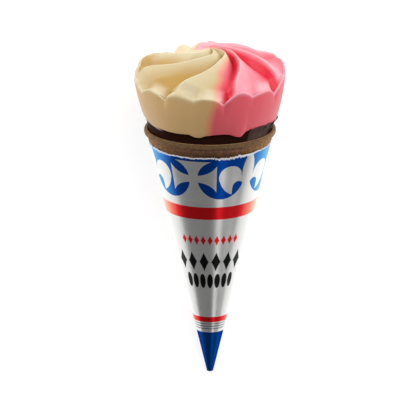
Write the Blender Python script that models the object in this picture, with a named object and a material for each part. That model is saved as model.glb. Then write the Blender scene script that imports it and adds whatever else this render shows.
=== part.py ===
"""An ice cream cone lying on its side with the shown side up.

A two-flavour rosette of ice cream stands in a rolled wafer cone with a chocolate
lining and a printed foil sleeve. The cone lies on small flats along its underside.
Every size below is in millimetres or degrees; the model itself is in metres, +Z up,
with the ice cream end toward +Y and the tip toward -Y.

Inside the functions, a place on the cone is given as three values: the distance r
from the cone's axis, the angle round the axis (zero on the shown side, growing to
the right) and the height z along the axis above the wafer's rim.
"""

import math

import bmesh
import bpy

# Scale
MM = 0.001

# Foil sleeve
CONE_HALF_ANGLE = 13.57
SLEEVE_RADIUS_AT_RIM = 27.67
SLEEVE_WALL = 0.47
SLEEVE_TIP_Z = -108.9
SLEEVE_INNER_END_Z = -105.4
SLEEVE_EDGE_FRONT_Z = -5.9
SLEEVE_EDGE_SIDE_DROP = 1.6
SLEEVE_EDGE_TEAR = 0.32

# Clear distance between one layer and the next, measured from the axis
LAYER_GAP = 0.38

# Wafer cone
LIP_RADIUS = 28.3
LIP_INNER_RADIUS = 26.95
LIP_HEIGHT = 2.1
BAND_RADIUS = 26.55
BAND_BOTTOM_Z = -5.05
WAFER_WALL = 1.6
WAFER_END_Z = -104.5
WAFER_INNER_END_Z = -96.0
MOUTH_DEPTH = 8.5

# Chocolate lining
LINING_WALL = 0.75
LINING_END_Z = -95.2
LINING_INNER_END_Z = -86.0
COLLAR_RADIUS = 27.15
COLLAR_WALL = 0.45
COLLAR_CLEARANCE = 0.5

# Ice cream below its edge
FILLING_END_Z = -85.0
OVERHANG_FRONT_Z = 4.5
OVERHANG_SIDE_RISE = 1.2
OVERHANG_RADIUS = 28.3
WALL_TOP_RADIUS = 32.8
WALL_BULGE = 0.35
MAJOR_FLUTE = 1.5
MINOR_FLUTE = 0.5

# Rosette: lines against the distance from the axis
LOBES = 7
FIRST_GROOVE_ANGLE = 11.2
CREST_LINE = ((0.0, 35.6), (7.0, 34.7), (14.0, 33.1), (21.0, 31.5), (26.0, 29.3), (30.0, 26.1), (33.0, 23.0))
TWIST_LINE = (
    (0.0, 125.0), (5.5, 99.0), (8.2, 74.0), (11.0, 50.0),
    (13.6, 35.0), (19.3, 16.0), (27.0, 4.0), (33.0, 0.0),
)
DEPTH_LINE = ((0.0, 0.0), (4.0, 2.0), (10.0, 4.6), (18.0, 5.4), (26.0, 4.2), (33.0, 2.6))
CREST_SHARE_LINE = ((0.0, 0.26), (8.0, 0.3), (16.0, 0.33), (21.0, 0.29), (26.0, 0.25), (33.0, 0.24))
LONG_SLOPE_POWER = 1.2
EDGE_BLEND = 2.8
MINOR_VALLEY = 1.0
MINOR_VALLEY_WIDTH = 0.09
MINOR_VALLEY_RADII = (14.0, 26.0)

# Scalloped edge of the rosette
NOTCH_Z = 19.7
MINOR_NOTCH_RISE = 1.4
TALL_ARCH = 4.3
LOW_ARCH = 2.9
ARCH_POWER = 0.75

# How the rosette departs from an even one: lines against the angle round the cone
LOBE_SHIFT = (
    (-180.0, 1.5), (-157.5, 1.5), (-151.0, 7.9), (-125.0, 8.2), (-101.0, 9.3), (-88.0, 9.2), (-68.0, 2.1),
    (-53.0, 0.0), (-38.7, -1.5), (-13.3, -1.2), (0.0, -0.6), (11.2, 0.0), (24.0, 0.0), (35.0, 1.9),
    (49.0, 0.8), (62.0, 0.6), (75.0, 0.0), (150.0, 0.0), (180.0, 1.5),
)
LOBE_DEPTH = (
    (-180.0, 1.0), (-150.0, 0.9), (-125.0, 0.7), (-95.0, 1.0), (90.0, 1.0), (112.0, 0.5), (155.0, 0.5),
    (180.0, 1.0),
)
RIM_RISE = (
    (-180.0, 6.4), (-168.0, 5.0), (-157.0, 7.2), (-151.0, 4.6), (-140.0, 5.8), (-124.0, 7.8), (-108.0, 7.7),
    (-98.0, 5.6), (-89.0, 0.0), (-80.0, 0.0), (-68.0, -0.7), (-55.0, 0.0), (-38.7, -0.6), (-28.0, 0.0),
    (0.0, 0.0), (11.2, -1.1), (24.0, 0.0), (50.0, 0.2), (62.0, -1.1), (75.0, 1.4), (88.0, 3.4), (101.0, 6.0),
    (112.0, 6.8), (132.0, 6.8), (147.0, 6.8), (165.0, 6.6), (180.0, 6.4),
)
RIM_RISE_INSIDE = 0.5
RIM_RISE_RADII = (26.0, 32.0)
MIDDLE_RISE = (
    (-180.0, 1.4), (-160.0, 0.0), (-140.0, -1.2), (-110.0, -1.2), (-80.0, -1.8), (-10.0, -1.6), (30.0, -0.2),
    (80.0, 0.0), (120.0, 0.6), (160.0, 1.2), (180.0, 1.4),
)
MIDDLE_RISE_RADIUS = 20.0
MIDDLE_RISE_SPREAD = 9.0
ARCH_SIZE = (
    (-180.0, 0.9), (-160.0, 0.7), (-148.0, 0.2), (-105.0, 0.2), (-90.0, 0.7), (-75.0, 1.0), (62.0, 1.0),
    (75.0, 0.9), (95.0, 0.3), (165.0, 0.3), (180.0, 0.9),
)
BACK_NARROWING = ((-180.0, 0.0), (-150.0, 0.4), (-125.0, 0.6), (-103.0, 0.5), (-92.0, 0.0), (180.0, 0.0))
EDGE_ROUNDING = (
    (-180.0, 0.8), (-60.0, 0.6), (-38.7, 0.5), (-27.0, 5.5), (-14.0, 2.0), (0.0, 0.5), (180.0, 0.8),
)

# Where the two flavours meet, before the twist
FRONT_SPLIT_ANGLE = 2.0
BACK_SPLIT_ANGLE = 190.0
SPLIT_GAP = 0.36

# How finely the surfaces are divided
SHELL_COLUMNS = 72
LOBE_STEPS = (0.0, 0.08, 0.16, 0.25, 0.32, 0.41, 0.5, 0.62, 0.75, 0.88)
TOP_ROWS = (0.98, 0.95, 0.915, 0.87, 0.79, 0.68, 0.57, 0.47, 0.37, 0.28, 0.2, 0.12)
WALL_ROWS = (0.1, 0.3, 0.5, 0.7, 0.82, 0.91, 0.97)
FLESH_ROWS = 6

# How the cone lies
FLAT_DEPTH = 0.15

HALF_ANGLE = math.radians(CONE_HALF_ANGLE)
LOBE_ANGLE = 360.0 / LOBES


def smooth(share):
    """An even step from 0 to 1 with level ends."""
    share = min(max(share, 0.0), 1.0)
    return share * share * (3.0 - 2.0 * share)


def between(ends, position):
    """An even step from 0 at the first of two places to 1 at the second."""
    return smooth((position - ends[0]) / (ends[1] - ends[0]))


def bump(distance, spread):
    """A rounded bump: 1 in its middle, falling to nothing at a few spreads from it."""
    return math.exp(-((distance / spread) ** 2))


def chord(line, index):
    """Slope of the straight line between one point of a named line and the next."""
    return (line[index + 1][1] - line[index][1]) / (line[index + 1][0] - line[index][0])


def slope_at(line, index):
    """Slope of a named line at one of its points, level where the line turns back there."""
    if index in (0, len(line) - 1):
        return chord(line, min(index, len(line) - 2))
    before, after = chord(line, index - 1), chord(line, index)
    return 2.0 * before * after / (before + after) if before * after > 0.0 else 0.0


def along(line, position):
    """The value of a named line of points at a position, by a cubic that never swings past its points."""
    index = 0
    while index < len(line) - 2 and position > line[index + 1][0]:
        index += 1
    start, end = line[index], line[index + 1]
    span = end[0] - start[0]
    share = min(max((position - start[0]) / span, 0.0), 1.0)
    square, cube = share * share, share * share * share
    return (
        (2 * cube - 3 * square + 1) * start[1]
        + (cube - 2 * square + share) * span * slope_at(line, index)
        + (3 * square - 2 * cube) * end[1]
        + (cube - square) * span * slope_at(line, index + 1)
    )


def round_line(line, angle):
    """The value of a named line whose places go once round the cone, at an angle of any size."""
    return along(line, (angle + 180.0) % 360.0 - 180.0)


def sleeve_radius(z):
    """Outer radius of the sleeve's straight cone at height z."""
    return SLEEVE_RADIUS_AT_RIM + math.tan(HALF_ANGLE) * z


def lying(r, angle, z):
    """A place on the cone as a point of the lying part, pressed flat where it meets the surface below."""
    turn = math.radians(angle)
    front = r * math.cos(turn)
    lift = SLEEVE_RADIUS_AT_RIM * math.cos(HALF_ANGLE) - FLAT_DEPTH
    x = r * math.sin(turn)
    y = z * math.cos(HALF_ANGLE) - front * math.sin(HALF_ANGLE)
    up = z * math.sin(HALF_ANGLE) + front * math.cos(HALF_ANGLE) + lift
    return (x * MM, y * MM, max(up, 0.0) * MM)


def finish(mesh_data, name, colour, roughness, metallic=0.0):
    """Turn a bmesh into a named object with its own material."""
    bmesh.ops.recalc_face_normals(mesh_data, faces=mesh_data.faces)
    bmesh.ops.triangulate(mesh_data, faces=mesh_data.faces)
    mesh = bpy.data.meshes.new(name)
    mesh_data.to_mesh(mesh)
    mesh_data.free()
    mesh.shade_smooth()
    mesh.set_sharp_from_angle(angle=math.radians(50))
    material = bpy.data.materials.new(name)
    material.use_nodes = True
    shader = material.node_tree.nodes["Principled BSDF"]
    shader.inputs["Base Color"].default_value = (*colour, 1.0)
    shader.inputs["Roughness"].default_value = roughness
    shader.inputs["Metallic"].default_value = metallic
    mesh.materials.append(material)
    piece = bpy.data.objects.new(name, mesh)
    bpy.context.scene.collection.objects.link(piece)
    return piece


def join_rings(mesh_data, lower, upper, closed=True):
    """Fill the strip between two rings that have the same number of points."""
    count = len(lower)
    for index in range(count if closed else count - 1):
        following = (index + 1) % count
        mesh_data.faces.new((lower[index], lower[following], upper[following], upper[index]))


def fan(mesh_data, ring, centre, closed=True):
    """Fill between a ring and a single point."""
    count = len(ring)
    for index in range(count if closed else count - 1):
        mesh_data.faces.new((ring[index], ring[(index + 1) % count], centre))


def layer(name, rows, first_tip_z, last_tip_z, colour, roughness, metallic=0.0):
    """A closed cup round the axis, from its outer tip over its rim to its inner tip.

    Each row is a function of the angle that gives a radius and a height.
    """
    mesh_data = bmesh.new()
    angles = [360.0 * index / SHELL_COLUMNS for index in range(SHELL_COLUMNS)]
    rings = []
    for row in rows:
        rings.append([mesh_data.verts.new(lying(row(angle)[0], angle, row(angle)[1])) for angle in angles])
    for lower, upper in zip(rings, rings[1:]):
        join_rings(mesh_data, lower, upper)
    fan(mesh_data, rings[0], mesh_data.verts.new(lying(0.0, 0.0, first_tip_z)))
    fan(mesh_data, rings[-1], mesh_data.verts.new(lying(0.0, 0.0, last_tip_z)))
    return finish(mesh_data, name, colour, roughness, metallic)


def level(radius, z):
    """A row with one radius and one height all round."""
    return lambda angle: (radius, z)


# Foil sleeve: a paper-backed cone with a torn upper edge and a blunt tip

def sleeve_edge_z(angle):
    """Height of the torn edge: lower at both sides, with small uneven teeth."""
    turn = math.radians(angle)
    teeth = math.sin(7 * turn + 1.0) + 0.7 * math.sin(13 * turn + 2.2)
    return SLEEVE_EDGE_FRONT_Z - SLEEVE_EDGE_SIDE_DROP * math.sin(turn) ** 2 + SLEEVE_EDGE_TEAR * teeth


def sleeve_row(drop, wall):
    """A row a given share of the way down from the torn edge, with or without the wall's thickness."""
    def row(angle):
        top = sleeve_edge_z(angle)
        z = top + (SLEEVE_INNER_END_Z - top) * drop
        return sleeve_radius(z) - wall, z
    return row


def foil_sleeve():
    """The sleeve, from its blunt tip up the outside and down the inside."""
    blunt = sleeve_radius(SLEEVE_TIP_Z)
    rows = [level(blunt * 0.7, SLEEVE_TIP_Z - 0.3), level(blunt, SLEEVE_TIP_Z)]
    rows += [sleeve_row(drop, 0.0) for drop in (1.0, 0.8, 0.55, 0.3, 0.1, 0.0)]
    rows += [sleeve_row(drop, SLEEVE_WALL) for drop in (0.0, 0.1, 0.3, 0.55, 0.8, 1.0)]
    tip = SLEEVE_TIP_Z - 0.5
    return layer("foil_sleeve", rows, tip, SLEEVE_INNER_END_Z - 0.2, (0.74, 0.75, 0.78), 0.3, 0.9)


# Wafer cone: a thin baked cone with a flat lip and a thicker band under the lip

def wafer_outer(z):
    """Outer radius of the wafer inside the sleeve."""
    return sleeve_radius(z) - SLEEVE_WALL - LAYER_GAP


def mouth(z, deep, rim):
    """Radius of a layer that widens from its deep course to its radius at the rim."""
    return deep + (rim - deep) * smooth((z + MOUTH_DEPTH) / MOUTH_DEPTH)


def wafer_inner(z):
    """Inner radius of the wafer, widening into its mouth."""
    return mouth(z, wafer_outer(z) - WAFER_WALL, LIP_INNER_RADIUS)


def wafer_cone():
    """The wafer, from its tip up the outside over the lip and down the inside."""
    step = BAND_BOTTOM_Z - 0.15
    rows = [level(wafer_outer(z), z) for z in (WAFER_END_Z, -70.0, -40.0, -15.0, step)]
    rows += [level(BAND_RADIUS - 0.35, BAND_BOTTOM_Z), level(BAND_RADIUS, -LIP_HEIGHT - 1.6)]
    rows += [level(BAND_RADIUS, -LIP_HEIGHT - 0.2), level(LIP_RADIUS - 0.35, -LIP_HEIGHT)]
    rows += [level(LIP_RADIUS, -LIP_HEIGHT + 0.4), level(LIP_RADIUS, -0.35), level(LIP_RADIUS - 0.3, 0.0)]
    rows += [level(wafer_inner(z), z) for z in (0.0, -2.5, -5.5, -9.0, -40.0, WAFER_INNER_END_Z)]
    ends = (WAFER_END_Z - 0.3, WAFER_INNER_END_Z - 0.4)
    return layer("wafer_cone", rows, *ends, (0.24, 0.13, 0.06), 0.7)


# Chocolate lining: a thin coat inside the wafer that stands above its rim as a collar

def overhang_z(angle):
    """Height of the ice cream's lower edge, a little higher at both sides."""
    return OVERHANG_FRONT_Z + OVERHANG_SIDE_RISE * math.sin(math.radians(angle)) ** 2


def lining_outer(z):
    """Outer radius of the lining inside the wafer."""
    return wafer_inner(z) - LAYER_GAP


def collar(share, wall):
    """A row of the collar, a given share of the way up from the rim to just under the ice cream."""
    def row(angle):
        radius = lining_outer(0.0) + (COLLAR_RADIUS - lining_outer(0.0)) * share
        return radius - wall, (overhang_z(angle) - COLLAR_CLEARANCE) * share
    return row


def chocolate_lining():
    """The lining, from its tip up the outside over the collar and down the inside."""
    rows = [level(lining_outer(z), z) for z in (LINING_END_Z, -40.0, -9.0, -5.5, -2.5)]
    rows += [collar(share, 0.0) for share in (0.0, 0.5, 1.0)]
    rows += [collar(share, COLLAR_WALL) for share in (1.0, 0.5, 0.0)]
    rows += [level(lining_outer(z) - LINING_WALL, z) for z in (-5.5, -9.0, -40.0, LINING_INNER_END_Z)]
    ends = (LINING_END_Z - 0.3, LINING_INNER_END_Z - 0.4)
    return layer("chocolate_lining", rows, *ends, (0.022, 0.009, 0.007), 0.35)


# Ice cream: a rosette of seven twisted lobes, split into two flavours that twist with it

def lobe_count(angle):
    """How many lobes an untwisted angle lies past the first groove; whole numbers are grooves."""
    return (angle + round_line(LOBE_SHIFT, angle) - FIRST_GROOVE_ANGLE) / LOBE_ANGLE


def angle_at(count):
    """The untwisted angle at a count of lobes, found by halving a range that holds it."""
    even_angle = FIRST_GROOVE_ANGLE + count * LOBE_ANGLE
    low, high = even_angle - LOBE_ANGLE / 2.0, even_angle + LOBE_ANGLE / 2.0
    while high - low > 0.001:
        middle = (low + high) / 2.0
        if lobe_count(middle) < count:
            low = middle
        else:
            high = middle
    return (low + high) / 2.0


def fall(share, r):
    """How far the surface lies under the crest: steep from the groove to the crest, then a long slope."""
    crest = along(CREST_SHARE_LINE, r)
    if share < crest:
        return 1.0 - share / crest
    return ((share - crest) / (1.0 - crest)) ** LONG_SLOPE_POWER


def edge_wave(share):
    """The course of the scalloped edge: 0 at every notch and 1 on every arch."""
    return abs(math.sin(2.0 * math.pi * share))


def is_minor(share):
    """Whether a place is nearer the lobe's middle notch than the grooves on both sides."""
    return 0.25 < share < 0.75


def arch(share):
    """Height of the scalloped edge above its notches: one tall arch and one low arch to each lobe."""
    height = TALL_ARCH if share < 0.5 else LOW_ARCH
    foot = MINOR_NOTCH_RISE if is_minor(share) else 0.0
    return foot + (height - foot) * edge_wave(share) ** ARCH_POWER


def flute(share):
    """Depth of the upright grooves that run down the wall from the notches."""
    return (MINOR_FLUTE if is_minor(share) else MAJOR_FLUTE) * (1.0 - edge_wave(share)) ** 2


def flesh_radius(z):
    """Radius of the ice cream inside the chocolate."""
    return lining_outer(z) - LINING_WALL - LAYER_GAP


def wall_place(angle, rise):
    """A place on the outer wall, a given share of the way up from the lower edge to the scalloped edge.

    The wall turns over into the edge by a quarter of a circle.
    """
    share = lobe_count(angle) % 1.0
    size = round_line(ARCH_SIZE, angle)
    bottom = overhang_z(angle)
    top = NOTCH_Z + arch(share) * size + round_line(RIM_RISE, angle)
    z = bottom + (top - bottom) * rise
    top_radius = WALL_TOP_RADIUS - round_line(BACK_NARROWING, angle)
    radius = OVERHANG_RADIUS + (top_radius - OVERHANG_RADIUS) * rise ** 0.9
    radius += WALL_BULGE * math.sin(math.pi * rise)
    rounding = round_line(EDGE_ROUNDING, angle)
    over = min(max(1.0 - (top - z) / rounding, 0.0), 1.0)
    radius -= rounding * (1.0 - math.sqrt(1.0 - over * over))
    return radius - flute(share) * size * rise ** 3, z


def top_place(angle, reach):
    """A place on the rosette, a given share of the way out from the middle to the scalloped edge."""
    edge_radius, edge_z = wall_place(angle, 1.0)
    r = edge_radius * reach
    share = lobe_count(angle) % 1.0
    swirl = along(CREST_LINE, r) - along(DEPTH_LINE, r) * fall(share, r) * round_line(LOBE_DEPTH, angle)
    swirl += RIM_RISE_INSIDE * round_line(RIM_RISE, angle) * between(RIM_RISE_RADII, r)
    twisted = angle + along(TWIST_LINE, r)
    swirl += round_line(MIDDLE_RISE, twisted) * bump(r - MIDDLE_RISE_RADIUS, MIDDLE_RISE_SPREAD)
    swirl -= MINOR_VALLEY * bump(share - 0.5, MINOR_VALLEY_WIDTH) * between(MINOR_VALLEY_RADII, r)
    blend = smooth((edge_radius - r) / EDGE_BLEND)
    return r, edge_z + (swirl - edge_z) * blend


def row_of(place, angles, twist_radius=None):
    """One row of the surface: its places, and the twist that the row has."""
    twist = 0.0 if twist_radius is None else along(TWIST_LINE, twist_radius)
    return [place(angle) for angle in angles], twist


def flavour_columns(start, end):
    """The untwisted angles of one flavour's columns, closer together where the lobes are steep."""
    angles = [start]
    for lobe in range(-LOBES - 1, LOBES + 1):
        for step in LOBE_STEPS:
            angle = angle_at(lobe + step)
            if start + 1.5 < angle < end - 1.5:
                angles.append(angle)
    angles.append(end)
    return angles


def flavour_rows(angles):
    """All rows of one flavour, from its lowest in the cone to the last one round the middle of the top."""
    rows = []
    for index in range(FLESH_ROWS):
        z = FILLING_END_Z * (1.0 - index / FLESH_ROWS) ** 1.3
        rows.append(row_of(lambda angle: (flesh_radius(z), z), angles))
    rows.append(row_of(lambda angle: (flesh_radius(0.0) + 0.1, 0.0), angles))
    tuck = COLLAR_RADIUS - COLLAR_WALL - LAYER_GAP
    rows.append(row_of(lambda angle: (tuck, overhang_z(angle) - COLLAR_CLEARANCE), angles))
    rows.append(row_of(lambda angle: (tuck + 0.1, overhang_z(angle)), angles))
    for rise in (0.0, *WALL_ROWS, 1.0):
        rows.append(row_of(lambda angle: wall_place(angle, rise), angles))
    for reach in TOP_ROWS:
        rows.append(row_of(lambda angle: top_place(angle, reach), angles, WALL_TOP_RADIUS * reach))
    return rows


def flavour(name, start, end, colour):
    """One flavour: its part of the outer surface, closed by a wall that runs to the axis and twists with it.

    The whole piece is moved half the gap away from the axis, so the flavours never touch.
    """
    mesh_data = bmesh.new()
    angles = flavour_columns(start, end)
    middle = (start + end) / 2.0
    apex_z = CREST_LINE[0][1]
    rings, spine = [], []
    for places, twist in flavour_rows(angles):
        away = math.radians(middle + twist)
        shift = (SPLIT_GAP / 2.0 * math.sin(away), SPLIT_GAP / 2.0 * math.cos(away))

        def shifted(r, angle, z):
            turn = math.radians(angle + twist)
            side = r * math.sin(turn) + shift[0]
            front = r * math.cos(turn) + shift[1]
            moved_angle = math.degrees(math.atan2(side, front))
            return mesh_data.verts.new(lying(math.hypot(side, front), moved_angle, z))

        rings.append([shifted(r, angle, z) for (r, z), angle in zip(places, angles)])
        edge_mean = (places[0][1] + places[-1][1]) / 2.0
        spine_z = apex_z - (apex_z - edge_mean) * 0.8 if twist else edge_mean
        spine.append(shifted(0.0, middle, spine_z))
    last_twist = along(TWIST_LINE, 0.0)
    away = middle + last_twist
    tip = mesh_data.verts.new(lying(SPLIT_GAP / 2.0, middle, FILLING_END_Z - 0.5))
    apex = mesh_data.verts.new(lying(SPLIT_GAP / 2.0, away, apex_z))
    for index in range(len(rings) - 1):
        join_rings(mesh_data, rings[index], rings[index + 1], closed=False)
        for column in (0, -1):
            low, high = rings[index][column], rings[index + 1][column]
            mesh_data.faces.new((low, high, spine[index + 1]))
            mesh_data.faces.new((low, spine[index + 1], spine[index]))
    for ring, point, axis_point in ((rings[0], tip, spine[0]), (rings[-1], apex, spine[-1])):
        fan(mesh_data, ring, point, closed=False)
        mesh_data.faces.new((ring[0], point, axis_point))
        mesh_data.faces.new((ring[-1], point, axis_point))
    return finish(mesh_data, name, colour, 0.5)


def build():
    """Make every piece, then move them so that the origin is under the middle of the part."""
    for leftover in list(bpy.data.objects):
        bpy.data.objects.remove(leftover)
    pieces = [
        flavour("vanilla_ice_cream", BACK_SPLIT_ANGLE - 360.0, FRONT_SPLIT_ANGLE, (0.78, 0.62, 0.32)),
        flavour("strawberry_ice_cream", FRONT_SPLIT_ANGLE, BACK_SPLIT_ANGLE, (0.85, 0.12, 0.17)),
        chocolate_lining(),
        wafer_cone(),
        foil_sleeve(),
    ]
    places = [vertex.co for piece in pieces for vertex in piece.data.vertices]
    middle_x = (min(place.x for place in places) + max(place.x for place in places)) / 2.0
    middle_y = (min(place.y for place in places) + max(place.y for place in places)) / 2.0
    for piece in pieces:
        piece.location = (-middle_x, -middle_y, 0.0)


build()
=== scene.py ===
"""An ice cream cone lying on a pale table, seen from above its shown side.

The cone is put together from the inside of its mouth outwards: the two flavours of
ice cream, the chocolate lining, the wafer and the foil sleeve. Places are in
millimetres on the cone, as a distance from its axis, an angle round the axis in
degrees (zero on the shown side, growing to the right) and a height along the axis
above the wafer's rim.
"""

import math

import bpy
import numpy as np
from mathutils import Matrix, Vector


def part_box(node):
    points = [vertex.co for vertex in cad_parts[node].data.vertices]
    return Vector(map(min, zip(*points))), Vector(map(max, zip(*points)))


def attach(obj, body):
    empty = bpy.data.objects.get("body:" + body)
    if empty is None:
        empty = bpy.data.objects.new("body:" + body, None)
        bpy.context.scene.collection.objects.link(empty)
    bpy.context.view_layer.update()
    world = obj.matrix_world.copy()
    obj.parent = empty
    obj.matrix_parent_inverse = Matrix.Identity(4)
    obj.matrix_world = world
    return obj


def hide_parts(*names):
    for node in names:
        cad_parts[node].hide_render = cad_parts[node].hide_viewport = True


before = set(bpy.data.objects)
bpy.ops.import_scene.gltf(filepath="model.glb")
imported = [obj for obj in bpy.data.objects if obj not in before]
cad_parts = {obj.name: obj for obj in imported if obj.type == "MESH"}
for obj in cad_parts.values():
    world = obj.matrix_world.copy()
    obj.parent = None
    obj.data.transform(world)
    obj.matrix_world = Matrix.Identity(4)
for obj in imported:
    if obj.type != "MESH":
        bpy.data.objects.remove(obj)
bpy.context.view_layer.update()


# Ice cream
# A rosette of vanilla and strawberry, pressed side by side through a star nozzle into
# the lined wafer. The nozzle turns as it lifts away, which twists seven lobes to the
# middle and leaves a scalloped edge above an upright, fluted wall.

CONE_SLOPE = math.radians(13.57)
LIP_TOP_RADIUS = 28.0
AXIS_LIFT = 26.75

# The lobes. A line is pairs of an angle, or of a distance from the axis, and a value.
# A ring, side, left, right or back is where a step starts and where it ends.
LOBES = 7
LOBE_ANGLE = 360.0 / LOBES
FIRST_GROOVE = 11.2
LOBE_SHIFT = (
    (-180, 1.5), (-156, 1.5), (-148.5, 5.4), (-125, 8.2), (-101, 9.3), (-88, 9.2),
    (-68, 2.1), (-53, 0.0), (-38.7, -1.5), (-13.3, -1.2), (0, -0.6), (11.2, 0.0), (24, 0.0),
    (35, 1.9), (49, 0.8), (62, 0.6), (75, 0.0), (150, 0.0), (180, 1.5),
)
CREST_SHARE_LINE = ((0, 0.26), (8, 0.3), (16, 0.32), (21, 0.28), (26, 0.21), (29.5, 0.18), (33, 0.16))
CREST_LINE = ((0, 35.6), (7, 34.7), (14, 33.1), (21, 31.5), (26, 29.3), (30, 26.1), (33, 23.0))
TWIST_LINE = (
    (0, 125.0), (5.5, 99.0), (8.2, 74.0), (11, 50.0), (13.6, 35.0), (19.3, 16.0),
    (27, 4.0), (33, 0.0),
)
DEPTH_LINE = ((0, 0.0), (4, 2.0), (10, 4.6), (18, 5.4), (26, 4.2), (33, 2.6))
LOBE_DEPTH = (
    (-180, 1.0), (-150, 0.9), (-125, 0.7), (-95, 1.0), (90, 1.0), (112, 0.65),
    (155, 0.6), (180, 0.8),
)
LONG_SLOPE_POWER = 1.2
RIM_SHARE_ON_TOP = 0.5
RIM_RING = (26.0, 32.0)
MIDDLE_RISE_RADIUS = 20.0
MIDDLE_RISE_SPREAD = 9.0
MINOR_VALLEY = 0.4
MINOR_VALLEY_WIDTH = 0.09
MINOR_VALLEY_RING = (14.0, 26.0)

# The scalloped edge, and how far the top rises or sinks round the cone.
NOTCH_HEIGHT = 19.7
TALL_ARCH = 4.3
LOW_ARCH = 2.9
MINOR_NOTCH_RISE = 1.4
EDGE_BLEND = 2.8
RIM_RISE = (
    (-180, 6.3), (-168, 5.0), (-157, 7.4), (-152.5, 6.6), (-148.5, 4.5), (-140, 5.8),
    (-124, 7.8), (-108, 7.7), (-98, 5.6), (-89, 0.0), (-80, 0.0), (-68, -0.7),
    (-55, 0.0), (-38.7, -0.6), (-28, 0.3), (-13, 1.3), (0, 0.1), (11.2, -1.1), (24, 0.0),
    (50, 0.2), (62, -1.1), (75, 1.4), (88, 3.4), (101, 6.4), (112, 7.7), (120, 7.5),
    (132, 7.1), (145, 7.5), (165, 6.9), (180, 6.3),
)
MIDDLE_RISE = (
    (-180, 1.4), (-160, 0.0), (-140, -1.2), (-110, -1.2), (-80, -1.8), (-10, -1.6),
    (30, -0.2), (80, 0.0), (120, 0.6), (160, 1.2), (180, 1.4),
)
ARCH_SIZE = (
    (-180, 0.9), (-160, 0.7), (-148, 0.2), (-105, 0.2), (-90, 0.7), (-75, 0.8), (-63, 0.8),
    (-50, 1.0), (-38, 1.0), (-27, 0.9), (-13, 0.5), (-1, 0.65), (11, 1.0),
    (62, 1.0), (75, 0.9), (95, 0.3), (165, 0.3), (180, 0.9),
)
BACK_NARROWING = ((-180, 0.0), (-150, 0.4), (-125, 0.6), (-103, 0.5), (-92, 0.0), (180, 0.0))
EDGE_ROUNDING = (
    (-180, 1.2), (-66, 1.6), (-56, 0.8), (-38.7, 0.5), (-27, 2.6), (-14, 2.2), (-4, 0.6),
    (20, 0.7), (180, 1.2),
)
ARCH_POWER = 0.75

# The fluted wall, its foot tucked in over the lining, and the filling down in the cone.
WALL_FOOT_RADIUS = 28.4
WALL_TOP_RADIUS = 32.6
WALL_POWER = 0.9
WALL_BULGE = 0.35
BODY_ARCH_SHARE = 0.75
MAJOR_FLUTE = 1.3
MINOR_FLUTE = 0.5
FLUTE_FADE_POWER = 6
TUCK_RADIUS = 26.3
TUCK_DROP = 0.25
LOWER_EDGE = (
    (-180, 5.2), (-150, 4.6), (-128, 5.6), (-100, 5.4), (-72, 6.4), (-60, 5.7), (-50, 5.0),
    (-32, 4.5), (-19, 4.6), (-13, 3.6), (-9.5, 3.5), (-4, 4.3), (10, 4.9), (16, 4.7),
    (23, 3.5), (27, 3.1), (30, 4.0), (33, 5.2), (44, 5.6), (60, 5.4), (80, 4.6),
    (92, 4.2), (105, 4.9), (140, 4.6), (180, 5.2),
)
FILLING_END = -85.0
FILLING_TIP_RADIUS = 3.1
FILLING_MOUTH_RADIUS = 25.7
FILLING_MOUTH_HEIGHT = 0.6
NECK_DROP = 0.5

# Where the halves are cut, and where their colours meet.
FRONT_SPLIT = 2.0
BACK_SPLIT = 190.0
JOIN_WALL_LINE = ((0.0, -1.5), (0.3, -0.6), (0.6, 1.2), (0.85, 3.6), (1.0, 6.0))
JOIN_TOP_LINE = (
    (0.0, 8.0), (4.0, 6.0), (8.0, 1.0), (12.0, -9.0), (18.0, -6.0), (22.0, 0.5), (27.0, 2.0), (33.0, 6.0),
)
BACK_JOIN_LINE = ((0.0, 160.0), (8.0, 168.0), (16.0, 176.0), (24.0, 184.0), (33.0, 190.0))
FRONT_BLEND = 5.0
BACK_BLEND = 1.6

# How strong the painted shade is in the grooves and on the wall, and where light is painted.
SHADE_STRENGTH = (
    (-180, 0.6), (-150, 0.8), (-120, 1.3), (-96, 1.3), (-88, 1.2), (-66, 1.9),
    (-42, 1.2), (-36, 0.8), (0, 0.8), (14, 1.0), (90, 1.0), (112, 0.65),
    (155, 0.5), (180, 0.6),
)
LEAST_COLOUR = ((-180, 0.0), (-140, 0.0), (-118, 0.28), (-92, 0.28), (-62, 0.14), (-44, 0.0), (180, 0.0))
LEAST_COLOUR_RING = (8.0, 18.0)
STEEP_SHADE = 2.2
LONG_SLOPE_SHADE_POWER = 1.15
MIDDLE_FAINTNESS = 0.5
MIDDLE_FAINT_RING = (16.0, 6.0)
MIDDLE_FAINT_SIDE = (FRONT_SPLIT, FRONT_SPLIT - 5.0)
# Light is painted on the foot of each lobe's long slope near the edge, where the painted shade is also
# fainter.
FOOT_START_SHARES = (0.5, 0.7)
FOOT_END_SHARES = (1.0, 0.88)
FOOT_RING = (26.5, 31.5)
FOOT_LEFT = (-62.0, -50.0)
FOOT_RIGHT = (80.0, 65.0)
FOOT_FAINTNESS = 0.85
FOOT_PAINTED_LIGHT = 0.65
# A painted highlight along each crest.
CREST_HIGHLIGHT_WIDTH = 0.45
CREST_HIGHLIGHT_INNER_RING = (5.0, 10.0)
CREST_HIGHLIGHT_OUTER_RING = (31.0, 27.0)
CREST_HIGHLIGHT_BACK = (105.0, 85.0)
# Light painted on the back of each flavour.
VANILLA_BACK = (-134.0, -146.0)
VANILLA_BACK_PAINTED_LIGHT = 0.9
STRAWBERRY_BACK = (112.0, 130.0)
STRAWBERRY_BACK_PAINTED_LIGHT = 0.6
# The upright wall is painted in shade, which fades out toward its top edge over a share that grows with the
# edge's rounding.
WALL_SHADE_STEP = 0.05
WALL_SHADE_STEP_BY_ROUNDING = 0.07
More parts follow.
